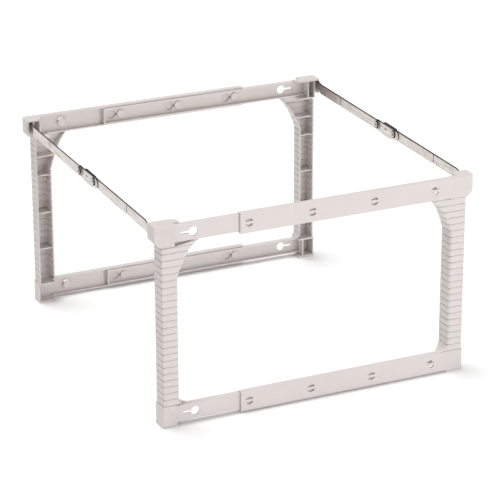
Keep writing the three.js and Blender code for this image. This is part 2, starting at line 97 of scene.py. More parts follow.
def srgb(code: str) -> tuple[float, float, float, float]:
    """Turns an sRGB hex colour into the linear colour that a shader takes.

    Args:
        code: Six hex digits, with or without a leading #.

    Returns:
        Linear red, green, blue and an alpha of 1.
    """
    digits = code.lstrip("#")
    channels = [int(digits[i:i + 2], 16) / 255 for i in (0, 2, 4)]
    linear = [c / 12.92 if c <= 0.04045 else ((c + 0.055) / 1.055) ** 2.4 for c in channels]
    return (linear[0], linear[1], linear[2], 1.0)


def add_node(
    tree: bpy.types.NodeTree,
    kind: str,
    settings: Setting | None = None,
    inputs: Setting | None = None,
) -> bpy.types.Node:
    """Adds a shader node, sets it up and links its inputs.

    Args:
        tree: Node tree to add to.
        kind: Blender's node type name.
        settings: Properties of the node itself.
        inputs: Input values by socket name or number; a socket given here is linked instead.

    Returns:
        The new node.
    """
    node = tree.nodes.new(kind)
    for key, value in (settings or {}).items():
        setattr(node, key, value)
    for key, value in (inputs or {}).items():
        if isinstance(value, bpy.types.NodeSocket):
            tree.links.new(value, node.inputs[key])
        else:
            node.inputs[key].default_value = value
    return node


def new_material(name: str) -> tuple[bpy.types.Material, bpy.types.NodeTree, bpy.types.Node]:
    """Starts a material with an empty tree.

    Args:
        name: Material name.

    Returns:
        The material, its node tree and its output node.
    """
    material = bpy.data.materials.new(name)
    material.use_nodes = True
    tree = material.node_tree
    tree.nodes.clear()
    return material, tree, add_node(tree, "ShaderNodeOutputMaterial")


@dataclass(frozen=True)
class MouldedPlastic:
    """Injection-moulded high-impact polystyrene in warm off-white.

    The mould's fine spark-eroded texture gives a soft satin sheen with no clear reflection, and the
    colour drifts very slightly across a long moulding.
    """

    name: str = "moulded_plastic"
    light: str = "#DDD6D4"
    deep: str = "#D2CAC6"
    drift_mm: float = 45.0
    grain_mm: float = 0.7
    grain_height_mm: float = 0.03
    smooth: float = 0.40
    rough: float = 0.54

    def material(self) -> bpy.types.Material:
        """Makes the material.

        Returns:
            The node material.
        """
        material, tree, output = new_material(self.name)
        place = add_node(tree, "ShaderNodeTexCoord").outputs["Object"]
        drift = add_node(
            tree, "ShaderNodeTexNoise", {},
            {"Vector": place, "Scale": 1 / (self.drift_mm * MM), "Detail": 3.0, "Roughness": 0.55},
        )
        colour = add_node(
            tree, "ShaderNodeMix", {"data_type": "RGBA"},
            {"Factor": drift.outputs["Fac"], "A": srgb(self.light), "B": srgb(self.deep)},
        )
        grain = add_node(
            tree, "ShaderNodeTexNoise", {},
            {"Vector": place, "Scale": 1 / (self.grain_mm * MM), "Detail": 3.0, "Roughness": 0.6},
        )
        rough = add_node(
            tree, "ShaderNodeMapRange", {},
            {"Value": grain.outputs["Fac"], "From Min": 0.3, "From Max": 0.7,
             "To Min": self.smooth, "To Max": self.rough},
        )
        relief = add_node(
            tree, "ShaderNodeBump", {},
            {"Height": grain.outputs["Fac"], "Strength": 0.5, "Distance": self.grain_height_mm * MM},
        )
        surface = add_node(
            tree, "ShaderNodeBsdfPrincipled", {},
            {"Base Color": colour.outputs["Result"], "Roughness": rough.outputs["Result"],
             "Normal": relief.outputs["Normal"], "IOR": 1.53},
        )
        tree.links.new(surface.outputs["BSDF"], output.inputs["Surface"])
        return material


@dataclass(frozen=True)
class PlatedSteel:
    """Cold-rolled steel strip with bright zinc plating.

    The rolling leaves streaks along the strip that catch the light in long bands. A dark band along
    the top edge is painted as a dark reflection, and the stamped score line gets painted shade.
    """

    name: str = "plated_steel"
    face: str = "#E6DFDA"
    streak: str = "#B9B0AA"
    # colour of the painted dark reflection along the top edge and of the painted shade in the score line
    edge: str = "#332E2B"
    streak_length_mm: float = 34.0
    streak_width_mm: float = 0.8
    cloud_mm: float = 9.0
    smooth: float = 0.22
    rough: float = 0.40

    def rolled(self, tree: bpy.types.NodeTree) -> tuple[bpy.types.NodeSocket, bpy.types.Node]:
        """Adds the streaked colour of the rolled faces.

        Args:
            tree: Node tree to add to.

        Returns:
            The object coordinates and the node that gives the streaks.
        """
        place = add_node(tree, "ShaderNodeTexCoord").outputs["Object"]
        along = 1 / (self.streak_length_mm * MM)
        across = 1 / (self.streak_width_mm * MM)
        stretched = add_node(
            tree, "ShaderNodeMapping", {}, {"Vector": place, "Scale": (across, along, across)}
        )
        streaks = add_node(
            tree, "ShaderNodeTexNoise", {},
            {"Vector": stretched.outputs["Vector"], "Scale": 1.0, "Detail": 4.0, "Roughness": 0.6},
        )
        return place, streaks

    def tinted(self, tree: bpy.types.NodeTree, streaks: bpy.types.Node) -> bpy.types.NodeSocket:
        """Adds the mix of bright face and darker streak."""
        spread = add_node(
            tree, "ShaderNodeMapRange", {},
            {"Value": streaks.outputs["Fac"], "From Min": 0.35, "From Max": 0.65},
        )
        mixed = add_node(
            tree, "ShaderNodeMix", {"data_type": "RGBA"},
            {"Factor": spread.outputs["Result"], "A": srgb(self.face), "B": srgb(self.streak)},
        )
        return mixed.outputs["Result"]

    def coat(
        self,
        tree: bpy.types.NodeTree,
        output: bpy.types.Node,
        place: bpy.types.NodeSocket,
        colour: bpy.types.NodeSocket,
        streaks: bpy.types.Node,
    ) -> None:
        """Adds the metal shader with its uneven gloss and fine relief.

        Args:
            tree: Node tree to add to.
            output: Material output.
            place: Object coordinates.
            colour: The metal's colour.
            streaks: Node that gives the relief.
        """
        clouds = add_node(
            tree, "ShaderNodeTexNoise", {},
            {"Vector": place, "Scale": 1 / (self.cloud_mm * MM), "Detail": 2.0},
        )
        rough = add_node(
            tree, "ShaderNodeMapRange", {},
            {"Value": clouds.outputs["Fac"], "From Min": 0.3, "From Max": 0.7,
             "To Min": self.smooth, "To Max": self.rough},
        )
        relief = add_node(
            tree, "ShaderNodeBump", {},
            {"Height": streaks.outputs["Fac"], "Strength": 0.25, "Distance": 0.02 * MM},
        )
        surface = add_node(
            tree, "ShaderNodeBsdfPrincipled", {},
            {"Base Color": colour, "Roughness": rough.outputs["Result"],
             "Normal": relief.outputs["Normal"], "Metallic": 1.0},
        )
        tree.links.new(surface.outputs["BSDF"], output.inputs["Surface"])

    def material(self, top_m: float, low_m: float, score_m: float) -> bpy.types.Material:
        """Makes the material of a strip or link.

        Args:
            top_m: Height above which a dark reflection is painted along the top edge.
            low_m: Height below which the same dark is painted.
            score_m: Distance from the middle of the bar of the score line, where shade is painted.

        Returns:
            The node material.
        """
        material, tree, output = new_material(self.name)
        place, streaks = self.rolled(tree)
        apart = add_node(tree, "ShaderNodeSeparateXYZ", {}, {"Vector": place})
        # Dark is painted above top_m and below low_m as a dark reflection, and along the score line as
        # shade.
        above = add_node(
            tree, "ShaderNodeMath", {"operation": "GREATER_THAN"}, {0: apart.outputs["Z"], 1: top_m}
        )
        below = add_node(
            tree, "ShaderNodeMath", {"operation": "LESS_THAN"}, {0: apart.outputs["Z"], 1: low_m}
        )
        along = add_node(tree, "ShaderNodeMath", {"operation": "ABSOLUTE"}, {0: apart.outputs["Y"]})
        score_shade = add_node(
            tree, "ShaderNodeMath", {"operation": "COMPARE"},
            {0: along.outputs["Value"], 1: score_m, 2: 0.7 * MM},
        )
        edges = add_node(
            tree, "ShaderNodeMath", {"operation": "MAXIMUM"},
            {0: above.outputs["Value"], 1: below.outputs["Value"]},
        )
        dark = add_node(
            tree, "ShaderNodeMath", {"operation": "MAXIMUM"},
            {0: edges.outputs["Value"], 1: score_shade.outputs["Value"]},
        )
        colour = add_node(
            tree, "ShaderNodeMix", {"data_type": "RGBA"},
            {"Factor": dark.outputs["Value"], "A": self.tinted(tree, streaks), "B": srgb(self.edge)},
        )
        self.coat(tree, output, place, colour.outputs["Result"], streaks)
        return material


@dataclass(frozen=True)
class RivetSteel(PlatedSteel):
    """Zinc-plated steel of a pressed rivet head.

    Bands of colour round the axis are painted light and shade: a painted highlight ring on the flat of the
    head, painted shade in the dished middle and at the rim.
    """

    name: str = "rivet_steel_painted_light"
    # radius in mm where each colour of the painted highlight and shade sits
    painted_light_rings: tuple[tuple[float, str], ...] = (
        (0.0, "#77716D"), (1.3, "#8D8783"), (1.7, "#4A4541"), (2.3, "#D9D6D3"), (3.3, "#C9C5C2"),
        (3.8, "#4A4541"), (4.6, "#3A3532"),
    )

    def head(self, centre_y: float, centre_z: float) -> bpy.types.Material:
        """Makes the material of one rivet.

        Args:
            centre_y: Place of the rivet's axis along the bar, in metres.
            centre_z: Its height.

        Returns:
            The node material.
        """
        material, tree, output = new_material(self.name)
        place, streaks = self.rolled(tree)
        flat = add_node(
            tree, "ShaderNodeVectorMath", {"operation": "MULTIPLY"}, {0: place, 1: (0.0, 1.0, 1.0)}
        )
        radius = add_node(
            tree, "ShaderNodeVectorMath", {"operation": "DISTANCE"},
            {0: flat.outputs["Vector"], 1: (0.0, centre_y, centre_z)},
        )
        reach = self.painted_light_rings[-1][0]
        share = add_node(
            tree, "ShaderNodeMath", {"operation": "DIVIDE"}, {0: radius.outputs["Value"], 1: reach * MM}
        )
        # The ramp paints the head's highlight and shade in bands round its axis.
        ramp = add_node(tree, "ShaderNodeValToRGB", {}, {"Fac": share.outputs["Value"]})
        stops = ramp.color_ramp.elements
        stops[0].color = srgb(self.painted_light_rings[0][1])
        stops[1].color = srgb(self.painted_light_rings[-1][1])
        for at, code in self.painted_light_rings[1:-1]:
            stops.new(at / reach).color = srgb(code)
        self.coat(tree, output, place, ramp.outputs["Color"], streaks)
        return material


# ---- shells: closed shapes in millimetres ----


class Drawn(Enum):
    """Plane that an outline is drawn in; its thickness runs along the third axis."""

    PLAN = "xy"
    FRONT = "xz"
    SIDE = "yz"

    def point(self, u: float, v: float, w: float) -> Vector:
        """Places drawing coordinates u and v, at w along the thickness, in space."""
        order = {"xy": (u, v, w), "xz": (u, w, v), "yz": (w, u, v)}
        return Vector(order[self.value])


def rectangle(u0: float, u1: float, v0: float, v1: float) -> list[Point2]:
    """Corners of a rectangle, in order round it."""
    return [(u0, v0), (u1, v0), (u1, v1), (u0, v1)]


def arc(centre: Point2, radius: float, start: float, end: float, steps: int) -> list[Point2]:
    """Points along a circular arc.

    Args:
        centre: The arc's centre.
        radius: Its radius.
        start: First angle, in degrees.
        end: Last angle, in degrees.
        steps: Number of straight steps.

    Returns:
        steps + 1 points.
    """
    angles = [math.radians(start + (end - start) * i / steps) for i in range(steps + 1)]
    return [(centre[0] + radius * math.cos(a), centre[1] + radius * math.sin(a)) for a in angles]


def spread(low: float, high: float, steps: int = CURVE_STEPS) -> list[float]:
    """Evenly spaced values from low to high, with both ends."""
    return [low + (high - low) * i / steps for i in range(steps + 1)]


def bend(curve: Sequence[Point2], t: float) -> Point2:
    """Point of a quadratic curve.

    Args:
        curve: Its three control points.
        t: Share of the way along it, from 0 to 1.

    Returns:
        The point.
    """
    first, middle, last = (1 - t) ** 2, 2 * t * (1 - t), t * t
    (ua, va), (ub, vb), (uc, vc) = curve
    return first * ua + middle * ub + last * uc, first * va + middle * vb + last * vc


def plate(
    drawn: Drawn,
    outline: Sequence[Point2],
    low: float,
    high: float,
    holes: Iterable[Sequence[Point2]] = (),
) -> BMesh:
    """Thickens an outline with holes into a closed shell.

    Args:
        drawn: Plane that the outline is drawn in.
        outline: Points round the outside.
        low: Start of the thickness.
        high: End of the thickness.
        holes: Points round each hole.

    Returns:
        The shell.
    """
    shell = bmesh.new()
    edges = []
    for loop in (outline, *holes):
        verts = [shell.verts.new(drawn.point(u, v, low)) for u, v in loop]
        edges += [shell.edges.new(pair) for pair in zip(verts, verts[1:] + verts[:1])]
    bmesh.ops.triangle_fill(shell, use_beauty=True, use_dissolve=False, edges=edges)
    bmesh.ops.dissolve_limit(
        shell, angle_limit=0.001, use_dissolve_boundaries=False, verts=shell.verts, edges=shell.edges
    )
    grown = bmesh.ops.extrude_face_region(shell, geom=shell.faces[:])["geom"]
    far = [item for item in grown if isinstance(item, BMVert)]
    bmesh.ops.translate(shell, vec=drawn.point(0, 0, high - low), verts=far)
    bmesh.ops.recalc_face_normals(shell, faces=shell.faces)
    return shell


def loft(sections: Sequence[Sequence[Vector]]) -> BMesh:
    """Draws a closed section out through a row of sections with the same number of points.

    Args:
        sections: Points of each section, in order round it.

    Returns:
        The shell, closed at both ends.
    """
    shell = bmesh.new()
    ring = [shell.verts.new(point) for point in sections[0]]
    shell.faces.new(ring)
    for section in sections[1:]:
        edges = [shell.edges.get(pair) for pair in zip(ring, ring[1:] + ring[:1])]
        drawn = bmesh.ops.extrude_edge_only(shell, edges=edges)["geom"]
        fresh = {item for item in drawn if isinstance(item, BMVert)}
        ring = [
            next(edge.other_vert(vert) for edge in vert.link_edges if edge.other_vert(vert) in fresh)
            for vert in ring
        ]
        for vert, place in zip(ring, section):
            vert.co = place
    shell.faces.new(ring)
    bmesh.ops.recalc_face_normals(shell, faces=shell.faces)
    return shell


def rod(drawn: Drawn, centre: Point2, radius: float, low: float, high: float, sides: int = 28) -> BMesh:
    """Makes a round rod that runs along the drawing's thickness."""
    return plate(drawn, arc(centre, radius, 0, 360, sides)[:-1], low, high)


def soften(
    shell: BMesh,
    width: float,
    where: Callable[[Vector], bool] | None = None,
    steps: int = 2,
) -> BMesh:
    """Rounds a shell's sharp edges.

    Args:
        shell: Shell to change.
        width: How far each rounding reaches.
        where: Says from an edge's middle whether it is rounded; all sharp edges are without it.
        steps: Faces in each rounding.

    Returns:
        The same shell.
    """
    chosen = [
        edge for edge in shell.edges
        if len(edge.link_faces) == 2
        and edge.calc_face_angle() > SHARP_ANGLE
        and (where is None or where((edge.verts[0].co + edge.verts[1].co) / 2))
    ]
    bmesh.ops.bevel(
        shell, geom=chosen, offset=width, offset_type="OFFSET", segments=steps, profile=0.5,
        affect="EDGES", clamp_overlap=True, material=-1,
    )
    return shell


def trim(shell: BMesh, point: Point3, normal: Point3) -> BMesh:
    """Cuts away the part of a shell beyond a plane and closes the cut.

    Args:
        shell: Shell to change.
        point: A point on the plane.
        normal: Direction in which the shell is cut away.

    Returns:
        The same shell.
    """
    everything = shell.verts[:] + shell.edges[:] + shell.faces[:]
    cut = bmesh.ops.bisect_plane(
        shell, geom=everything, dist=1e-5, plane_co=point, plane_no=normal, clear_outer=True
    )["geom_cut"]
    bmesh.ops.holes_fill(shell, edges=[item for item in cut if isinstance(item, BMEdge)], sides=0)
    bmesh.ops.recalc_face_normals(shell, faces=shell.faces)
    return shell


class Moulding:
    """One moulded or pressed piece, gathered from closed shells in millimetres."""

    def __init__(self) -> None:
        """Starts an empty piece."""
        self.body = bmesh.new()

    def add(self, *shells: BMesh) -> None:
        """Takes in closed shells and frees them."""
        for shell in shells:
            scratch = bpy.data.meshes.new("scratch")
            shell.to_mesh(scratch)
            shell.free()
            self.body.from_mesh(scratch)
            bpy.data.meshes.remove(scratch)

    def piece(self, name: str, place: Matrix, finish: bpy.types.Material) -> bpy.types.Object:
        """Makes the Blender object, with its place in its mesh.

        Args:
            name: Object name.
            place: From the piece's own millimetres to the rack's metres.
            finish: Material of the whole piece.

        Returns:
            The object, standing at the origin.
        """
        bmesh.ops.transform(self.body, matrix=place, verts=self.body.verts)
        if place.determinant() < 0:
            bmesh.ops.reverse_faces(self.body, faces=self.body.faces)
        mesh = bpy.data.meshes.new(name)
        self.body.to_mesh(mesh)
        self.body.free()
        mesh.shade_smooth()
        mesh.set_sharp_from_angle(angle=SHARP_ANGLE)
        mesh.materials.append(finish)
        made = bpy.data.objects.new(name, mesh)
        bpy.context.scene.collection.objects.link(made)
        even = made.modifiers.new("even_normals", "WEIGHTED_NORMAL")
        even.keep_sharp = True
        LOG.info("%s: %d faces", name, len(mesh.polygons))
        return made


# ---- end frames: x from the foot's outer end towards the other half, y from the outer face towards
# the other end frame, z up ----


@dataclass
class HalfSizes:
    """Sizes that both halves of an end frame share, in millimetres."""

    height: float = 237.0
    depth: float = 18.7
    post_width: float = 21.3
    post_inset: float = 1.2
    post_wall: float = 1.6
    bands: int = 24
    groove: float = 1.1
    outer_corner: float = 2.2
    inner_corner: float = 4.2
    webs: tuple[float, ...] = (0.234, 0.483, 0.741, 0.87)
    web: float = 1.6
    web_depth: float = 16.5
    front_wall: float = 2.2
    side_wall: float = 1.6
    floor: float = 2.0
    head_height: float = 24.6
    nose_height: float = 18.0
    socket_inner: float = 0.4
    socket_outer: float = 5.0
    pin_radius: float = 1.5
    pin_depth: float = 9.0
    pin_height: float = 228.25
    pocket_wall: float = 1.5
    pocket_width: float = 7.0
    foot_wall: float = 14.4
    arm_height: float = 23.8
    arm_lift: float = 1.5
    arm_reach: float = 280.4
    gusset_reach: float = 24.2
    gusset_drop: float = 41.0
    fillet_reach: float = 12.0
    fillet_rise: float = 7.5
    rim: float = 1.8
    pitch: float = 76.2
    locks: int = 4

    @property
    def roof(self) -> float:
        """Underside of the head's top plate."""
        return self.height - self.floor

    @property
    def head_low(self) -> float:
        """Underside of the head."""
        return self.height - self.head_height

    @property
    def foot_high(self) -> float:
        """Top of the foot."""
        return self.arm_lift + self.arm_height

    @property
    def arm_top(self) -> float:
        """Underside of the upper arm of a wide half."""
        return self.height - self.arm_height

    @property
    def arm_levels(self) -> tuple[float, float]:
        """Underside of the lower and the upper arm of a wide half."""
        return (self.arm_lift, self.arm_top)

    @property
    def bay_start(self) -> float:
        """Where the bay beside the pocket starts."""
        return -self.socket_inner + 2 * self.pocket_wall + self.pocket_width


BAND_SHAPE: tuple[Point2, ...] = (
    (0.0, 1.0), (0.025, 0.7), (0.06, 0.3), (0.12, 0.1), (0.25, 0.02), (0.5, 0.0), (0.75, 0.02),
    (0.88, 0.1), (0.94, 0.3), (0.975, 0.7),
)


@dataclass
class EndFrameHalf:
    """A C-shaped half of an end frame: ribbed post, head, foot and two channel arms."""

    node: str
    body: str
    sizes: HalfSizes = field(default_factory=HalfSizes)
    overhang: float = 6.2
    nose: float = 0.5
    arm_depth: float = 9.8
    face_width: float = 17.6
    plate_straight: float = 11.0
    plate_end: float = 26.0
    plate_depth: float = 9.8
    brace_rise: float = 0.0
    edge: float = 0.35
    flutes: tuple[float, ...] = ()
    flute: float = 0.22
    flute_width: float = 0.9
    foot_nose: float = 2.4

    def groove_at(self, share: float) -> float:
        """Depth of the post's surface below its widest, at a share of one band's height."""
        return self.sizes.groove * share

    def band_levels(self) -> list[Point2]:
        """Heights up the post and how deep the surface lies at each.

        Returns:
            Pairs of height and depth.
        """
        s = self.sizes
        pitch = (s.head_low - s.foot_high) / s.bands
        levels = [
            (s.foot_high + (band + share) * pitch, self.groove_at(depth))
            for band in range(s.bands)
            for share, depth in BAND_SHAPE
        ]
        return levels + [(s.head_low, self.groove_at(1.0))]

    def gusset(self) -> list[Point2]:
        """Control points of the curve between post and upper arm, as x and z."""
        s = self.sizes
        x, top = s.post_width, s.arm_top + self.brace_rise
        return [
            (x, top - s.gusset_drop),
            (x + 0.36 * s.gusset_reach, top - 0.32 * s.gusset_drop),
            (x + s.gusset_reach, top),
        ]

    def fillet(self) -> list[Point2]:
        """Control points of the curve between lower arm and post, as x and z."""
        s = self.sizes
        x, base = s.post_width, s.foot_high - self.brace_rise
        return [
            (x + s.fillet_reach, base),
            (x + 0.15 * s.fillet_reach, base + 0.15 * s.fillet_rise),
            (x, base + s.fillet_rise),
        ]

    def inner_side(self, z: float) -> Point2:
        """Finds where the post's inner side stands at a height and how deep it reaches.

        The side runs out along the gusset and the fillet and thins there to the depth of an arm.

        Args:
            z: The height.

        Returns:
            Its x and its depth.
        """
        s = self.sizes
        gusset, fillet = self.gusset(), self.fillet()
        x, reach = s.post_width, s.gusset_reach
        if z > gusset[0][1]:
            x = height_to_x(gusset, min(z, gusset[-1][1]))
        elif z < fillet[-1][1]:
            x, reach = height_to_x(fillet, max(z, fillet[0][1])), s.fillet_reach
        share = (x - s.post_width) / reach
        return x, s.depth + (self.arm_depth - s.depth) * share

    def post_section(self, z: float, sunk: float) -> list[Vector]:
        """Plan of the post at a height: a channel with rounded front corners, open at the back.

        Args:
            z: The height.
            sunk: Depth of the surface there below the widest part of a band.

        Returns:
            Points round the section.
        """
        s = self.sizes
        inner_x, inner_depth = self.inner_side(z)
        x0, x1, wall = s.post_inset + sunk, inner_x - sunk, s.post_wall
        outer, inner = s.outer_corner, s.inner_corner
        points = [
            (x0, s.depth),
            *arc((x0 + outer, sunk + outer), outer, 180, 270, 4),
            *arc((x1 - inner, sunk + inner), inner, 270, 360, 6),
            (x1, inner_depth),
            (x1 - wall, inner_depth),
            *arc((x1 - inner, sunk + inner), inner - wall, 360, 270, 4),
            *arc((x0 + outer, sunk + outer), outer - wall, 270, 180, 2),
            (x0 + wall, s.depth),
        ]
        return [Vector((x, y, z)) for x, y in points]

    def post(self) -> list[BMesh]:
        """Ribbed post with cross webs; it runs out into the gusset and the fillet.

        Returns:
            Its shells.
        """
        s = self.sizes
        levels = [(z, sunk) for z, sunk in self.band_levels() if z < self.post_top() - 0.2]
        levels.append((self.post_top(), s.groove))
        shells = [loft([self.post_section(z, sunk) for z, sunk in levels])]
        for share in s.webs:
            z = s.foot_high + share * (s.head_low - s.foot_high)
            inner_x, inner_depth = self.inner_side(z)
            x0, x1 = s.post_inset + 1.0, inner_x - 1.2
            deep = min(inner_depth - 0.4, s.web_depth)
            shape = [(x0, 1.4), (x1, 1.4), (x1, deep), (s.post_width - 2, s.web_depth), (x0, s.web_depth)]
            shells.append(soften(plate(Drawn.PLAN, shape, z, z + s.web), 0.3))
        return shells

    def post_top(self) -> float:
        """Height where the ribbed part ends."""
        return self.sizes.head_low

    def rim(self, low: float, high: float, front: float, width: float) -> BMesh:
        """A stretch of the inner side's rim.

        Args:
            low: Height where it starts.
            high: Height where it ends.
            front: Depth of its front.
            width: Its width along x.

        Returns:
            The shell.
        """
        sections = []
        for z in spread(low, high):
            x, depth = self.inner_side(z)
            sections.append([
                Vector((u, v, z)) for u, v in rectangle(x - width, x, front, max(depth, front + 1))
            ])
        return loft(sections)

    def brace_face(self, low: float, high: float) -> BMesh:
        """Face of the gusset between the ribbed part and the arm."""
        s = self.sizes
        sections = []
        for z in spread(low, high):
            x = self.inner_side(z)[0]
            plan = rectangle(self.face_width - 0.5, x - 0.3, s.groove, s.groove + s.post_wall)
            sections.append([Vector((u, v, z)) for u, v in plan])
        return loft(sections)

    def braces(self) -> list[BMesh]:
        """Ends of the gusset and the fillet where they meet the arms.

        Returns:
            Their shells.
        """
        low, high = self.post_top() - 0.05, self.gusset()[-1][1]
        return [self.brace_face(low, high + 0.3), self.rim(low, high + 0.3, self.sizes.groove, 1.6)]

    def end_plan(self, outer: float, nose: float, pockets: Sequence[Point2]) -> list[Point2]:
        """Plan of a head or foot: a comb of walls, open at the back.

        Args:
            outer: Outer end.
            nose: Radius of its outer front corner.
            pockets: Start and end of each hollow along x.

        Returns:
            Points round the plan.
        """
        s = self.sizes
        points = [(outer, s.depth), *arc((outer + nose, nose), nose, 180, 270, 6)]
        for x in self.flutes if outer < 0 else ():
            lip, bed = self.flute_width / 2, self.flute_width / 6
            points += [(x - lip, 0), (x - bed, self.flute), (x + bed, self.flute), (x + lip, 0)]
        points += [(self.face_width, 0), (self.face_width, s.front_wall)]
        for start, end in reversed(list(pockets)):
            back = [(end, s.depth), (end, s.front_wall), (start, s.front_wall), (start, s.depth)]
            points += back if end < self.face_width - 1 else back[2:]
        return points

    def inner_edge(self) -> list[Point2]:
        """Inner edge of the plates of a head or foot, from the face to the depth of the post."""
        return [(self.sizes.post_width, 0.0), (self.sizes.post_width, self.sizes.depth)]

    def foot_hollows(self) -> list[Point2]:
        """Start and end of each hollow of a foot."""
        return [(self.sizes.side_wall, self.face_width)]

    def foot(self) -> list[BMesh]:
        """Foot block, hollow from the back.

        Returns:
            Its shells.
        """
        s = self.sizes
        nose = self.foot_nose
        lid = [(0, s.depth), *arc((nose, nose), nose, 180, 270, 6), *self.inner_edge()]
        top = s.foot_high
        end = s.post_width - 0.1
        return [
            soften(
                plate(Drawn.PLAN, self.end_plan(0, nose, self.foot_hollows()), s.floor, top - s.floor),
                self.edge, self.at_back),
            soften(plate(Drawn.PLAN, lid, 0, s.floor), self.edge, lambda at: at.z < 0.1 and at.x < end),
            soften(
                plate(Drawn.PLAN, lid, top - s.floor, top), self.edge,
                lambda at: at.z > top - 0.1 and at.x < end),
        ]

    def at_back(self, at: Vector) -> bool:
        """Whether a point lies on the open back."""
        return at.y > self.sizes.depth - 0.1

    def head(self) -> list[BMesh]:
        """Head with the bar's socket and pin, a pocket and the arm's bay.

        Returns:
            Its shells.
        """
        s = self.sizes
        pocket = (-s.socket_inner + s.pocket_wall, -s.socket_inner + s.pocket_wall + s.pocket_width)
        hollows = [(-s.socket_outer, -s.socket_inner), pocket, (s.bay_start, self.face_width)]
        outer = -self.overhang
        walls = plate(Drawn.PLAN, self.end_plan(outer, self.nose, hollows), s.head_low, s.roof)
        slope = (s.nose_height - s.head_height, -self.overhang)
        trim(walls, (0, 0, s.head_low), (slope[0], 0, slope[1]))
        soften(walls, self.edge, lambda at: at.y > s.depth - 0.1 or at.z < s.roof - 1 and at.x < -0.5)
        floor = [(0.1 - s.socket_inner, s.depth - 0.05), (0.1 - s.socket_inner, 0.3)]
        floor += [(x, max(y, 0.3)) for x, y in self.inner_edge()]
        end = self.plate_end
        curve = [(end, self.plate_depth), (end, s.depth), (self.plate_straight, s.depth)]
        back = [bend(curve, t) for t in spread(0, 1, 10)[1:]]
        cap = [*arc((outer + self.nose, self.nose), self.nose, 180, 270, 6), *self.cap_front(end), *back]
        cap.append((outer, s.depth))
        high = s.height
        return [
            walls,
            soften(
                plate(Drawn.PLAN, floor, s.head_low, s.head_low + s.floor), 0.25,
                lambda at: at.y > s.depth - 0.2),
            soften(
                plate(Drawn.PLAN, cap, s.roof, high), self.edge,
                lambda at: at.z > high - 0.1 and at.x < min(end, self.face_width) - 0.1),
            soften(
                rod(Drawn.SIDE, (s.pin_depth, s.pin_height), s.pin_radius, -s.socket_outer - 0.1,
                    -s.socket_inner + 0.1, 16), 0.2),
        ]

    def cap_front(self, end: float) -> list[Point2]:
        """Front edge of the top plate, from the head's face out along the arm."""
        front = self.sizes.post_width
        return [(front, 0.0), (front, self.plate_depth), (end, self.plate_depth)]

    def arms(self) -> list[BMesh]:
        """Both channel arms; each kind of half has its own."""
        raise NotImplementedError

    def place(self) -> Matrix:
        """From the half's own millimetres to the rack's metres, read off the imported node's box.

        Returns:
            The transform.
        """
        low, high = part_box(self.node)
        at_low_end = abs(low.x) > abs(high.x)
        near = self.node.startswith("near")
        way_x = 1.0 if at_low_end else -1.0
        way_y = 1.0 if near else -1.0
        start_x = low.x + self.overhang * MM if at_low_end else high.x - self.overhang * MM
        start = Vector((start_x, low.y if near else high.y, low.z))
        return Matrix.Translation(start) @ Matrix.Diagonal((way_x * MM, way_y * MM, MM, 1.0))

    def build(self, finish: bpy.types.Material) -> bpy.types.Object:
        """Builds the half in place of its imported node.

        Args:
            finish: The plastic.

        Returns:
            The object.
        """
        moulding = Moulding()
        moulding.add(*self.foot(), *self.post(), *self.braces(), *self.head(), *self.arms())
        made = moulding.piece(f"{self.node}_moulding", self.place(), finish)
        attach(made, self.body)
        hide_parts(self.node)
        return made


def height_to_x(curve: Sequence[Point2], z: float) -> float:
    """Finds where a quadratic curve, given by its three control points, passes a height.

    Args:
        curve: Control points as x and z, rising or falling throughout.
        z: The height.

    Returns:
        The x there.
    """
    rising = curve[2][1] > curve[0][1]
    low, high = 0.0, 1.0
    for _ in range(40):
        t = (low + high) / 2
        if (bend(curve, t)[1] < z) == rising:
            low = t
        else:
            high = t
    return bend(curve, t)[0]


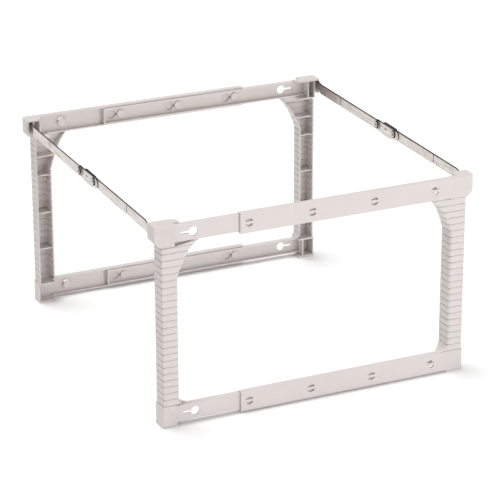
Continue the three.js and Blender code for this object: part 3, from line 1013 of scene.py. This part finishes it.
@dataclass
class WideHalf(EndFrameHalf):
    """The outer half: its arms carry the mushroom studs."""

    overhang: float = 7.8
    nose: float = 4.0
    arm_depth: float = 7.1
    face_width: float = 21.3
    plate_straight: float = 3.0
    plate_end: float = 12.0
    plate_depth: float = 7.1
    web: float = 2.0
    flange: float = 1.8
    first_stud: float = 41.4
    stud_head: float = 4.8
    window: float = 4.75
    band: float = 3.2
    neck_length: float = 6.0
    neck_height: float = 2.0
    head_front: float = 4.5
    head_back: float = 6.0
    flutes: tuple[float, ...] = (0.6, 2.6)
    flute: float = 0.12

    def crescents(self, x: float, z: float) -> list[list[Point2]]:
        """Openings above and below a stud's neck."""
        tilt = math.degrees(math.asin(self.band / 2 / self.window))
        return [
            arc((x, z), self.window, tilt, 180 - tilt, 12),
            arc((x, z), self.window, 180 + tilt, 360 - tilt, 12),
        ]

    def stud(self, x: float, z: float) -> list[BMesh]:
        """Mushroom stud: a flat neck and a round head behind the slim arm."""
        half, rise = self.neck_length / 2, self.neck_height / 2
        flat = rectangle(x - half, x + half, z - rise, z + rise)
        neck = plate(Drawn.FRONT, flat, self.web - 0.1, self.head_front + 0.1)
        disc = rod(Drawn.FRONT, (x, z), self.stud_head, self.head_front, self.head_back)
        return [neck, soften(disc, 0.4)]

    def arms(self) -> list[BMesh]:
        """Wide channel arms with crescent windows and studs.

        Returns:
            Their shells.
        """
        s = self.sizes
        shells = []
        start = s.post_width
        for level in s.arm_levels:
            top = level + s.arm_height
            middle = (level + top) / 2
            places = [self.first_stud + i * s.pitch for i in range(s.locks)]
            holes = [hole for x in places for hole in self.crescents(x, middle)]
            web = rectangle(start, s.arm_reach, level + self.flange, top - self.flange)
            shells.append(soften(
                plate(Drawn.FRONT, web, 0, self.web, holes), 0.3,
                lambda at, low=level, high=top: abs(at.x - s.arm_reach) < 0.1
                or (low + 4 < at.z < high - 4 and start + 2 < at.x and at.y < 0.1),
            ))
            for low, seam in ((level, level + self.flange), (top - self.flange, top - self.flange)):
                edge = plate(
                    Drawn.SIDE, rectangle(0, self.arm_depth, low, low + self.flange), start, s.arm_reach
                )
                shells.append(soften(
                    edge, self.edge,
                    lambda at, seam=seam: (abs(at.z - seam) > 0.1 or at.y > 1) and at.x > start + 0.1,
                ))
            for x in places:
                shells += self.stud(x, middle)
        return shells


@dataclass
class SlimHalf(EndFrameHalf):
    """The inner half: its arms carry the keyholes and slide inside the wide arms."""

    web_front: float = 2.4
    web: float = 1.8
    inset: float = 2.2
    flange: float = 1.6
    brace_rise: float = 2.2
    keyhole_at: float = 40.3
    keyhole_radius: float = 5.2
    tail: float = 14.8
    tail_half: float = 1.3
    step: float = 7.5
    slot_wall: float = 1.5
    slot_drop: float = 3.0
    flutes: tuple[float, ...] = (-3.4, -0.8, 1.8, 4.4, 7.0, 9.6, 12.2, 14.8)

    def inner_edge(self) -> list[Point2]:
        """The plates step back beside the face for the wide arm."""
        s = self.sizes
        return [(self.face_width, 0.0), (self.face_width, self.step), (s.post_width, self.step),
                (s.post_width, s.depth)]

    def foot_hollows(self) -> list[Point2]:
        """A wall parts the foot's outer hollow from the arm."""
        s = self.sizes
        return [(s.side_wall, s.foot_wall), (s.foot_wall + s.pocket_wall, self.face_width)]

    def post_top(self) -> float:
        """The ribbed part ends below the slot for the wide arm."""
        return self.sizes.head_low - 1.0

    def cap_front(self, end: float) -> list[Point2]:
        """The top plate steps back beside the head, where the wide arm slides in."""
        return [(self.face_width, 0.0), (self.face_width, self.step), (end, self.step)]

    def keyhole(self, x: float, z: float) -> list[Point2]:
        """Round entry with a narrow tail towards the post."""
        tilt = math.degrees(math.asin(self.tail_half / self.keyhole_radius))
        entry = arc((x, z), self.keyhole_radius, -180 + tilt, 180 - tilt, 26)
        end = arc((x - self.tail + self.tail_half, z), self.tail_half, 90, 270, 6)
        return [*entry, *end]

    def braces(self) -> list[BMesh]:
        """Gusset with a tapering slot under the upper arm, so that the wide arm can pass."""
        s = self.sizes
        low, high = self.post_top() - 0.05, self.gusset()[-1][1]
        face = self.brace_face(low, high)
        run, rise = s.post_width + s.gusset_reach - self.face_width, high - low
        trim(face, (self.face_width, 0, low + 0.1), (-rise, 0, run))
        neck = rectangle(s.post_inset + s.groove, self.face_width, s.groove, s.groove + s.post_wall)
        side = rectangle(s.post_inset + s.groove, s.post_inset + s.groove + s.post_wall, 2, s.depth)
        return [
            face,
            self.rim(low, high + 0.3, self.step, 1.6),
            self.rim(self.fillet()[0][1] - 0.1, s.foot_high + 0.1, self.step, 1.6),
            plate(Drawn.PLAN, neck, low, s.head_low + 0.1),
            plate(Drawn.PLAN, side, low, s.head_low + 0.1),
            self.slot_back(),
        ]

    def slot_back(self) -> BMesh:
        """Wall that closes the slot under the upper arm from behind."""
        s = self.sizes
        low, high = s.head_low - self.slot_drop, self.gusset()[-1][1]
        curve = [(self.inner_side(z)[0] - 0.4, z) for z in spread(low, high)]
        outline = [(s.post_inset + s.post_wall, high + 0.3), (s.post_inset + s.post_wall, low), *curve]
        outline.append((curve[-1][0], high + 0.3))
        return plate(Drawn.FRONT, outline, self.step, self.step + self.slot_wall)

    def arms(self) -> list[BMesh]:
        """Slim channel arms with keyholes, closed at their free ends.

        Returns:
            Their shells.
        """
        s = self.sizes
        shells = []
        for level, start in zip(s.arm_levels, (s.foot_wall, s.bay_start - s.pocket_wall)):
            low, top = level + self.inset, level + s.arm_height - self.inset
            middle = (low + top) / 2
            holes = [self.keyhole(self.keyhole_at + i * s.pitch, middle) for i in range(s.locks)]
            web = rectangle(start, s.arm_reach, low + self.flange, top - self.flange)
            back = self.web_front + self.web
            shells.append(soften(
                plate(Drawn.FRONT, web, self.web_front, back, holes), 0.25,
                lambda at, low=low, high=top, start=start: low + 3 < at.z < high - 3
                and start + 2 < at.x < s.arm_reach - 2,
            ))
            for base, seam in ((low, low + self.flange), (top - self.flange, top - self.flange)):
                edge = plate(
                    Drawn.SIDE, rectangle(self.web_front, self.arm_depth, base, base + self.flange),
                    start, s.arm_reach,
                )
                shells.append(soften(
                    edge, self.edge,
                    lambda at, seam=seam: abs(at.z - seam) > 0.1 or at.y > self.web_front + 1,
                ))
            end = rectangle(s.arm_reach - 1.5, s.arm_reach - 0.02, back - 0.1, self.arm_depth - 0.3)
            shells.append(soften(plate(Drawn.PLAN, end, low + 1, top - 1), 0.25, lambda at: at.y > back + 1))
        return shells


# ---- steel bars, in the bar's own frame: the origin at the middle of the link plate, x outwards
# through the plate, y towards the far end frame, z up ----


@dataclass
class BarSizes:
    """Sizes of a folding bar, in millimetres."""

    thickness: float = 0.9
    layer: float = 1.2
    height: float = 12.5
    outer: float = 203.0
    pin_y: float = 194.0
    rivet_y: float = 20.2
    joggle_start: float = 21.0
    joggle_length: float = 13.0
    pin_hole: float = 1.8
    rivet_hole: float = 1.9
    notch_offset: float = 87.0
    notch_radius: float = 1.6
    score: float = 0.3


@dataclass
class Strip:
    """A flat steel strip from a head's pin to past its rivet."""

    side: int
    tail: float
    sizes: BarSizes = field(default_factory=BarSizes)

    def outline(self) -> list[Point2]:
        """Side view with rounded ends and the notch of the snap-off score."""
        s = self.sizes
        half = s.height / 2
        inner = s.rivet_y - self.tail + half
        notch = s.outer - s.notch_offset
        low = arc((notch, -half), s.notch_radius, 180, 0, 8)
        points = [
            *arc((inner, 0), half, 90, 270, 14),
            *low,
            *arc((s.pin_y, 0), half, -90, 90, 14),
        ]
        return [(self.side * y, z) for y, z in points]

    def shift(self, y: float) -> float:
        """Step across of the strip's middle plane at a distance along the bar."""
        s = self.sizes
        start = s.outer - s.joggle_start - s.joggle_length
        share = min(max((abs(y) - start) / s.joggle_length, 0), 1)
        return -self.side * s.layer * (1 - 2 * share)

    def shell(self) -> BMesh:
        """The strip's shell."""
        s = self.sizes
        holes = [
            [(self.side * (y + v), z) for v, z in arc((0, 0), radius, 0, 360, 20)[:-1]]
            for y, radius in ((s.pin_y, s.pin_hole), (s.rivet_y, s.rivet_hole))
        ]
        half = s.thickness / 2
        made = plate(Drawn.SIDE, self.outline(), -half, half, holes)
        soften(made, 0.12, steps=1)
        start = s.outer - s.joggle_start
        score = s.outer - s.notch_offset + 0.4
        places = [start, start - s.joggle_length, score - 0.55, score, score + 0.55]
        for y in places:
            bmesh.ops.bisect_plane(
                made, geom=made.verts[:] + made.edges[:] + made.faces[:], dist=1e-6,
                plane_co=(0, self.side * y, 0), plane_no=(0, 1, 0),
            )
        for vert in made.verts:
            if abs(abs(vert.co.y) - score) < 0.01 and vert.co.x < 0:
                vert.co.x += s.score
            vert.co.x += self.shift(vert.co.y)
        return made


@dataclass
class Link:
    """Plate that joins the two strips of a bar, with a thumb lip bent over along its top."""

    sizes: BarSizes = field(default_factory=BarSizes)
    tail: float = 11.1
    far_tail: float = 6.25
    belly: float = 2.5
    lip_rise: float = 2.4
    lip_width: float = 2.2
    lip_start: float = -28.5
    lip_end: float = 3.0
    eye: float = 1.4

    def shells(self) -> list[BMesh]:
        """The plate and its lip."""
        s = self.sizes
        half, radius = s.thickness / 2, s.height / 2
        near, far = -s.rivet_y - self.tail, s.rivet_y + self.far_tail
        belly = [
            (far - radius + (near + 2 * radius - far) * t, -radius - self.belly * math.sin(math.pi * t))
            for t in (i / 16 for i in range(1, 16))
        ]
        outline = [
            *arc((far - radius, 0), radius, 90, -90, 14),
            *belly,
            *arc((near + radius, 0), radius, 270, 118, 12),
            (self.lip_start, radius + self.lip_rise - 1.2),
            (self.lip_start + 1.2, radius + self.lip_rise),
            (self.lip_end - 2.2, radius + self.lip_rise),
            (self.lip_end - 1.0, radius + self.lip_rise - 1.2),
            (self.lip_end, radius),
        ]
        holes = [
            arc((y, 0), size, 0, 360, 20)[:-1]
            for y, size in ((-s.rivet_y, s.rivet_hole), (0, self.eye), (s.rivet_y, s.rivet_hole))
        ]
        top = radius + self.lip_rise
        lip = rectangle(-half - self.lip_width, half, self.lip_start + 0.8, self.lip_end - 1.8)
        return [
            soften(plate(Drawn.SIDE, outline, -half, half, holes), 0.12, steps=1),
            soften(plate(Drawn.PLAN, lip, top - s.thickness, top - 0.01), 0.3),
        ]


@dataclass
class Rivet:
    """Flanged rivet through two stacked plates, with a dished head."""

    sizes: BarSizes = field(default_factory=BarSizes)
    shank: float = 1.6
    head_radius: float = 4.6
    tail_radius: float = 3.0
    head: float = 0.8
    tail: float = 0.6

    def shell(self) -> BMesh:
        """The rivet's shell, turned about x."""
        stack = self.sizes.thickness + 0.45
        front = -stack - self.head
        profile = [
            (front + 0.35, 0), (front + 0.35, 1.5), (front + 0.1, 2.1), (front, 2.5), (front, 3.6),
            (front + 0.12, 4.2), (-stack - 0.35, self.head_radius), (-stack, self.head_radius),
            (-stack, self.shank), (stack, self.shank), (stack, self.tail_radius),
            (stack + 0.3, self.tail_radius - 0.1), (stack + self.tail, self.tail_radius - 0.6),
            (stack + self.tail, 1.1), (stack + self.tail - 0.25, 0.8), (stack + self.tail - 0.25, 0),
        ]
        made = bmesh.new()
        verts = [made.verts.new((x, r, 0)) for x, r in profile]
        edges = [made.edges.new(pair) for pair in zip(verts, verts[1:])]
        bmesh.ops.spin(
            made, geom=verts + edges, cent=(0, 0, 0), axis=(1, 0, 0), angle=math.tau, steps=32,
            use_merge=True,
        )
        bmesh.ops.remove_doubles(made, verts=made.verts, dist=1e-4)
        bmesh.ops.recalc_face_normals(made, faces=made.faces)
        return made


@dataclass
class FoldingBar:
    """A bar of two strips, a link plate and two rivets."""

    side: str
    centre: Vector
    sizes: BarSizes = field(default_factory=BarSizes)
    # height over the bar's middle where the painted dark reflection starts
    painted_reflection_from: float = 4.9

    def parts(self) -> dict[str, tuple[str, list[BMesh], Vector]]:
        """Shells of each piece with the body it rides on and its place in the bar."""
        s = self.sizes
        middle = f"{self.side}_middle"
        shift = s.layer / 2
        return {
            "near_strip": (f"{self.side}_near_bar", [Strip(-1, 23.0, s).shell()], Vector()),
            "far_strip": (f"{self.side}_far_bar", [Strip(1, 6.25, s).shell()], Vector()),
            "link": (middle, Link(s).shells(), Vector()),
            "near_rivet": (middle, [Rivet(s).shell()], Vector((shift, -s.rivet_y, 0))),
            "far_rivet": (middle, [Rivet(s).shell()], Vector((-shift, s.rivet_y, 0))),
        }

    def finish(self, name: str) -> bpy.types.Material:
        """Picks the steel of one piece.

        Args:
            name: The piece's name within the bar.

        Returns:
            Its material.
        """
        s = self.sizes
        if name.endswith("rivet"):
            side = -1 if name.startswith("near") else 1
            return RivetSteel().head(side * s.rivet_y * MM, self.centre.z)
        # Strip and link get a dark reflection painted from 4.9 mm above the bar's middle up, which covers
        # the link's whole lip.
        top, low = self.centre.z + self.painted_reflection_from * MM, self.centre.z - s.height * MM
        return PlatedSteel().material(top, low, (s.outer - s.notch_offset) * MM)

    def build(self) -> list[bpy.types.Object]:
        """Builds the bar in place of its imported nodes.

        Returns:
            The objects.
        """
        made = []
        for name, (body, shells, offset) in self.parts().items():
            piece = Moulding()
            piece.add(*shells)
            start = Matrix.Translation(self.centre + offset * MM)
            node = f"{self.side}_{name}"
            place = start @ Matrix.Diagonal((MM, MM, MM, 1.0))
            item = piece.piece(f"{node}_steel", place, self.finish(name))
            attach(item, body)
            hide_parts(node)
            made.append(item)
        return made


# ---- studio ----


@dataclass
class Studio:
    """Plain pale floor, soft lights and the camera."""

    camera_at: Point3 = (-1.10827, -2.42327, 1.17277)
    camera_turn: Point3 = (68.1742, 0.1080, -24.8573)
    lens_mm: float = 175.26
    floor_size: float = 12.0
    surround: float = 0.42
    sky_from: Point3 = (-0.10, 0.14, 1.0)
    sky_spread: float = 25.0
    sky_power: float = 2.15

    def camera(self) -> None:
        """Sets up the camera."""
        data = bpy.data.cameras.new("camera")
        data.sensor_width = 36.0
        data.lens = self.lens_mm
        data.clip_end = 50.0
        camera = bpy.data.objects.new("camera", data)
        camera.location = self.camera_at
        camera.rotation_euler = Euler([math.radians(angle) for angle in self.camera_turn])
        bpy.context.scene.collection.objects.link(camera)
        bpy.context.scene.camera = camera

    def floor(self) -> None:
        """Lays the floor."""
        shell = bmesh.new()
        bmesh.ops.create_grid(shell, x_segments=1, y_segments=1, size=self.floor_size / 2)
        mesh = bpy.data.meshes.new("floor")
        shell.to_mesh(mesh)
        shell.free()
        material, tree, output = new_material("studio_floor")
        surface = add_node(
            tree, "ShaderNodeBsdfPrincipled", {},
            {"Base Color": srgb("#FDFDFD"), "Roughness": 0.9, "Specular IOR Level": 0.1},
        )
        tree.links.new(surface.outputs["BSDF"], output.inputs["Surface"])
        mesh.materials.append(material)
        ground = bpy.data.objects.new("floor", mesh)
        ground.location.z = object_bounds()[0][2] - 0.0002
        bpy.context.scene.collection.objects.link(ground)
        ground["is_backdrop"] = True

    def light(
        self, name: str, size: float, power: float, at: Point3
    ) -> None:
        """Adds a square soft light that faces the rack.

        Args:
            name: Light name.
            size: Side of the square, in metres.
            power: Power in watts.
            at: Place in metres.
        """
        data = bpy.data.lights.new(name, "AREA")
        data.shape = "SQUARE"
        data.size = size
        data.energy = power
        lamp = bpy.data.objects.new(name, data)
        lamp.location = at
        aim = Vector((0, 0, 0.1)) - Vector(at)
        lamp.rotation_euler = aim.to_track_quat("-Z", "Y").to_euler()
        bpy.context.scene.collection.objects.link(lamp)

    def skylight(self) -> None:
        """Hangs the big soft light high over the rack, a little behind it."""
        data = bpy.data.lights.new("skylight", "SUN")
        data.angle = math.radians(self.sky_spread)
        data.energy = self.sky_power
        lamp = bpy.data.objects.new("skylight", data)
        lamp.rotation_euler = Vector(self.sky_from).to_track_quat("Z", "Y").to_euler()
        bpy.context.scene.collection.objects.link(lamp)

    def build(self) -> None:
        """Sets up the whole studio."""
        world = bpy.data.worlds.new("studio")
        world.use_nodes = True
        shade = next(n for n in world.node_tree.nodes if n.type == "BACKGROUND")
        shade.inputs["Color"].default_value = srgb("#FFFFFF")
        shade.inputs["Strength"].default_value = self.surround
        bpy.context.scene.world = world
        bpy.context.scene.view_settings.view_transform = "Standard"
        self.camera()
        self.floor()
        self.skylight()
        self.light("front_fill", size=1.6, power=34.0, at=(1.2, -2.9, 0.7))


def joint_place(frame: Setting, name: str) -> Vector:
    """Looks up a joint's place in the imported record."""
    return next(Vector(joint["pos_m"]) for joint in frame["joints"] if joint["name"] == name)


def main() -> None:
    """Builds the rack's looks piece by piece."""
    logging.basicConfig(level=logging.INFO, format="%(name)s: %(message)s")
    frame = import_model()
    plastic = MouldedPlastic().material()
    halves = [
        SlimHalf("near_slim_half", "near_slim"),
        WideHalf("near_wide_half", "near_wide"),
        SlimHalf("far_slim_half", "far_slim"),
        WideHalf("far_wide_half", "far_wide"),
    ]
    for half in halves:
        half.build(plastic)
    for side, joint in (("left", "left_fold"), ("right", "fold")):
        pin = joint_place(frame, joint)
        FoldingBar(side, Vector((pin.x, 0, pin.z))).build()
    Studio().build()


if __name__ == "__main__":
    main()
